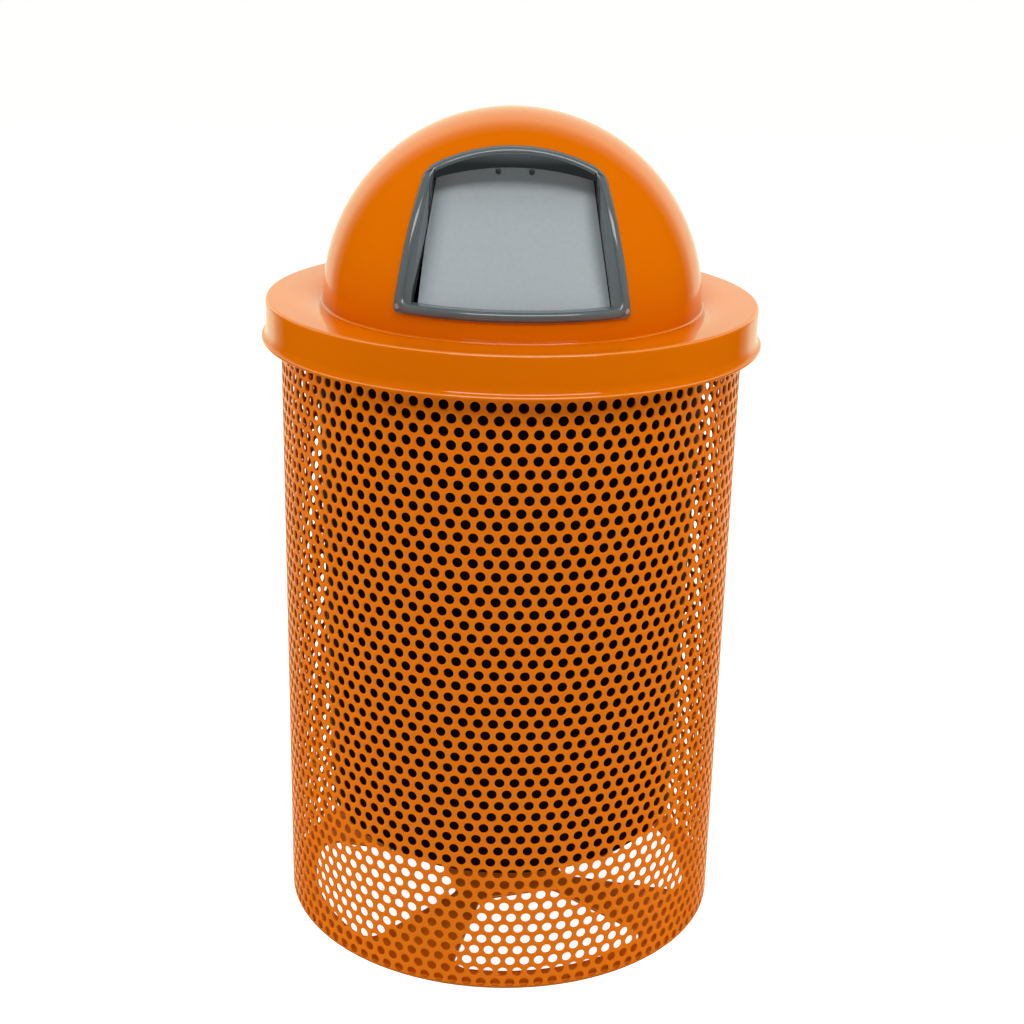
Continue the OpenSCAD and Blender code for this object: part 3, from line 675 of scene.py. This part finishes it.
# The flap's sizes in millimetres: its line in the middle plane, and half widths at its ends
FLAP_T = 1.5
FLAP_TOP = (112.78, 193.95)             # in front of the axis, above the dome's centre
FLAP_CREASE = (123.31, 159.53)
FLAP_LOW_Z = 28.0
FLAP_FOOT_IN = 0.6                      # how far the foot's face lies behind the front of the node's box
FLAP_TOP_HALF, FLAP_LOW_HALF = 92.0, 119.0
FLAP_CORNER_R = 4.0
CREASE_SOFT = 8.0                       # the crease bends over this much to each side
LEFT_FOLD, RIGHT_FOLD = (26.0, 8.0), (20.0, 6.5)    # width and depth of each side's bend
FOLD_LEAST, FOLD_GROWS = 0.6, 60.0      # least share of that depth, and how far down it is full
LEFT_CUT = 4.5                          # how far the left side is cut in at the foot
LEFT_CUT_FROM, LEFT_CUT_BEND = 0.5, 1.2     # share of the flap's length where the cut starts, and its curve
LEFT_FULLER, RIGHT_FULLER = 0.9, 1.0    # how much wider each side is than the half widths say
FULLER_ENDS = 12.0                      # over which that fades at the top and foot
FLAP_ROWS, FLAP_COLS = 110, 90
COLS_TO_SIDES = 1.25                    # above 1, columns lie closer together near the sides
FLAP_SHARP = 50                         # degrees between faces from which an edge is drawn sharp


def flap_front():
    """The flap's front face as a grid of points from its top edge down, in millimetres."""
    low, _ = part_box("door_flap")
    foot = (-low.y / MM, FLAP_LOW_Z)
    band = math.dist(FLAP_TOP, FLAP_CREASE)
    tilt_top = math.atan2(FLAP_CREASE[0] - FLAP_TOP[0], FLAP_TOP[1] - FLAP_CREASE[1])
    tilt_main = math.atan2(foot[0] - FLAP_CREASE[0] - FLAP_FOOT_IN, FLAP_CREASE[1] - foot[1])
    main = (FLAP_CREASE[1] - foot[1]) / math.cos(tilt_main)
    along = np.linspace(0, band + main, FLAP_ROWS)
    bend = np.clip((along - band + CREASE_SOFT) / (2 * CREASE_SOFT), 0, 1)
    tilt = tilt_top + (tilt_main - tilt_top) * bend * bend * (3 - 2 * bend)
    step = np.diff(along, prepend=0)
    y = FLAP_TOP[0] + np.cumsum(step * np.sin(tilt))
    z = FLAP_TOP[1] - np.cumsum(step * np.cos(tilt))
    half = FLAP_TOP_HALF + (FLAP_LOW_HALF - FLAP_TOP_HALF) * (FLAP_TOP[1] - z) / (FLAP_TOP[1] - FLAP_LOW_Z)

    # corners rounded, and the left side cut in a little towards the bottom, as in the photo
    down = along / along[-1]
    near_end = np.minimum(along, along[-1] - along)
    short = np.clip(FLAP_CORNER_R - near_end, 0, FLAP_CORNER_R)
    trim = FLAP_CORNER_R - np.sqrt(np.clip(FLAP_CORNER_R ** 2 - short ** 2, 0, None))
    left_cut = LEFT_CUT * np.clip((down - LEFT_CUT_FROM) / (1 - LEFT_CUT_FROM), 0, 1) ** LEFT_CUT_BEND
    fuller = np.clip(near_end / FULLER_ENDS, 0, 1)
    left = -(half - trim - left_cut + LEFT_FULLER * fuller * np.clip(2 - 2 * down, 0, 1))
    right = half - trim + RIGHT_FULLER * fuller
    u = np.linspace(-1, 1, FLAP_COLS)
    u = np.sign(u) * (1 - (1 - np.abs(u)) ** COLS_TO_SIDES)
    x = left[:, None] + (right - left)[:, None] * (u + 1) / 2

    # both sides folded back
    back = np.zeros_like(x)
    deeper = np.clip(along[:, None] / FOLD_GROWS, FOLD_LEAST, 1)
    for side, width, depth in ((-1, *LEFT_FOLD), (1, *RIGHT_FOLD)):
        back += depth * deeper * np.clip(1 - (half[:, None] - side * x) / width, 0, 1) ** 2
    back_y, back_z = back * np.cos(tilt)[:, None], back * np.sin(tilt)[:, None]
    return np.stack([x, -(y[:, None] - back_y), z[:, None] - back_z + DOME_Z], 2)


def pressed_flap():
    """The flap as thin pressed sheet: soft bends at the crease and at both folded sides."""
    front = flap_front()
    normal = np.cross(np.gradient(front, axis=0), np.gradient(front, axis=1))
    normal /= np.linalg.norm(normal, axis=2)[:, :, None]
    rear = front - FLAP_T * normal
    verts = np.concatenate([front.reshape(-1, 3), rear.reshape(-1, 3)])
    n = FLAP_ROWS * FLAP_COLS
    ids = np.arange(n).reshape(FLAP_ROWS, FLAP_COLS)
    rim = np.concatenate([ids[0, :-1], ids[:-1, -1], ids[-1, :0:-1], ids[:0:-1, 0]])
    edge = np.stack([rim, np.roll(rim, -1), np.roll(rim, -1) + n, rim + n], 1)
    quads = grid_faces(FLAP_ROWS, FLAP_COLS)
    quads = np.concatenate([quads, quads[:, ::-1] + n, edge])
    flap = piece("flap_skin", verts * MM, quads, "grey_paint", "door", "door_flap")
    face_outwards(flap)
    flap.data.set_sharp_from_angle(angle=math.radians(FLAP_SHARP))


# ---------------------------------------------------------------- floor, light, camera

FLOOR_HALF = 30.0
FLOOR_DROP = 0.5 * MM                   # below the basket's foot
FLOOR_GLOW = 0.95
FLOOR_GREY = (0.5, 0.5, 0.5, 1), (0.52, 0.52, 0.52, 1)
FLOOR_SCALE = 0.8                       # of the noise between those greys
WHITE = (1, 1, 1, 1)

SKY = [(0.6, 0.0), (0.7, 0.4), (0.8, 1.1)]       # how far behind, and brightness
SKY_TINT = (1.0, 1.01, 0.73)

# Lamps: place, what each is turned to, width and height, watts, and whether the gloss mirrors it
LAMPS = {
    "key": ((0.25, -2.1, 3.3), (0, 0, 0.95), (3.4, 1.0), 66, True),
    "top": ((0.1, -0.3, 3.6), (0, 0, 0.9), (2.4, 2.4), 34, False),
    "back": ((-0.3, 2.6, 3.0), (0, 0, 0.9), (2.4, 1.6), 36, False),
    "front": ((0.5, -4.4, 0.9), (0, 0, 0.4), (3.0, 2.4), 42, False),
    "left": ((-3.0, 0.7, 0.7), (0, 0, 0.4), (2.2, 2.2), 84, False),
    "right": ((3.0, 1.0, 0.7), (0, 0, 0.4), (2.2, 2.2), 80, False),
    "bounce": ((0, 0, 0.002), (0, 0, 1), (5.0, 5.0), 72, False),
}

# The photograph's own camera, fitted to its edges: focal length in pixels of its 1024-wide frame
PHOTO_PX = 1024
FOCAL_PX = 1720.6
CAMERA_AT = (0, -2231.05 * MM, 1351.74 * MM)
CAMERA_DOWN, CAMERA_ROLL, CAMERA_YAW = 19.561, 1.336, -0.158
SENSOR_W = 36                           # millimetres


def floor():
    """A white sweep that glows as evenly as a lit studio floor does."""
    corners = np.array([(-1, -1, 0), (1, -1, 0), (1, 1, 0), (-1, 1, 0)]) * FLOOR_HALF
    obj = placed("floor", mesh_of("floor", corners, np.array([[0, 1, 2, 3]])))
    obj.location.z = -FLOOR_DROP
    m = Nodes("floor")
    m.tint(m.noise(FLOOR_SCALE, detail=3.0), (NOISE_LOW, FLOOR_GREY[0]), (NOISE_HIGH, FLOOR_GREY[1]))
    m.set(Roughness=0.9, Specular_IOR_Level=0.0, Emission_Color=WHITE, Emission_Strength=FLOOR_GLOW)
    obj.data.materials.append(m.mat)
    obj.visible_glossy = False
    obj.visible_diffuse = False


def sky():
    """White all round for the eye; for light and gloss, a pale wall behind and dark elsewhere."""
    world = bpy.data.worlds.new("studio")
    bpy.context.scene.world = world
    world.use_nodes = True
    tree = world.node_tree
    tree.nodes.clear()
    coords = tree.nodes.new("ShaderNodeTexCoord")
    split = tree.nodes.new("ShaderNodeSeparateXYZ")
    ramp = tree.nodes.new("ShaderNodeValToRGB")
    seen = tree.nodes.new("ShaderNodeLightPath")
    dim = tree.nodes.new("ShaderNodeBackground")
    white = tree.nodes.new("ShaderNodeBackground")
    mix = tree.nodes.new("ShaderNodeMixShader")
    out = tree.nodes.new("ShaderNodeOutputWorld")
    stops = ramp.color_ramp.elements
    stops[0].position = SKY[0][0]
    stops[-1].position = SKY[-1][0]
    stops.new(SKY[1][0])
    for stop, (_, value) in zip(stops, SKY):
        stop.color = tuple(value * c for c in SKY_TINT) + (1,)
    white.inputs["Color"].default_value = WHITE
    link = tree.links.new
    link(coords.outputs["Generated"], split.inputs["Vector"])
    link(split.outputs["Y"], ramp.inputs["Fac"])
    link(ramp.outputs["Color"], dim.inputs["Color"])
    link(seen.outputs["Is Camera Ray"], mix.inputs["Fac"])
    link(dim.outputs["Background"], mix.inputs[1])
    link(white.outputs["Background"], mix.inputs[2])
    link(mix.outputs["Shader"], out.inputs["Surface"])


def lamps():
    """Area lamps round the bin, none of them seen by the camera."""
    for name, (place, target, size, watts, mirrored) in LAMPS.items():
        data = bpy.data.lights.new(name, "AREA")
        data.energy = watts
        data.shape = "RECTANGLE"
        data.size, data.size_y = size
        lamp = placed(name, data)
        lamp.location = place
        lamp.rotation_euler = (Vector(target) - Vector(place)).to_track_quat("-Z", "Y").to_euler()
        lamp.visible_camera = False
        lamp.visible_glossy = mirrored


def camera():
    """The camera that took the photograph."""
    data = bpy.data.cameras.new("camera")
    data.sensor_width = SENSOR_W
    data.lens = FOCAL_PX * SENSOR_W / PHOTO_PX
    cam = placed("camera", data)
    turn = (
        Matrix.Rotation(math.radians(CAMERA_YAW), 4, "Z")
        @ Matrix.Rotation(math.radians(90 - CAMERA_DOWN), 4, "X")
        @ Matrix.Rotation(math.radians(CAMERA_ROLL), 4, "Z")
    )
    cam.matrix_world = Matrix.Translation(CAMERA_AT) @ turn
    bpy.context.scene.camera = cam


perforated_wall()
spun_lid()
frame_bead()
pressed_flap()
floor()
sky()
lamps()
camera()
bpy.context.scene.view_settings.view_transform = "Standard"
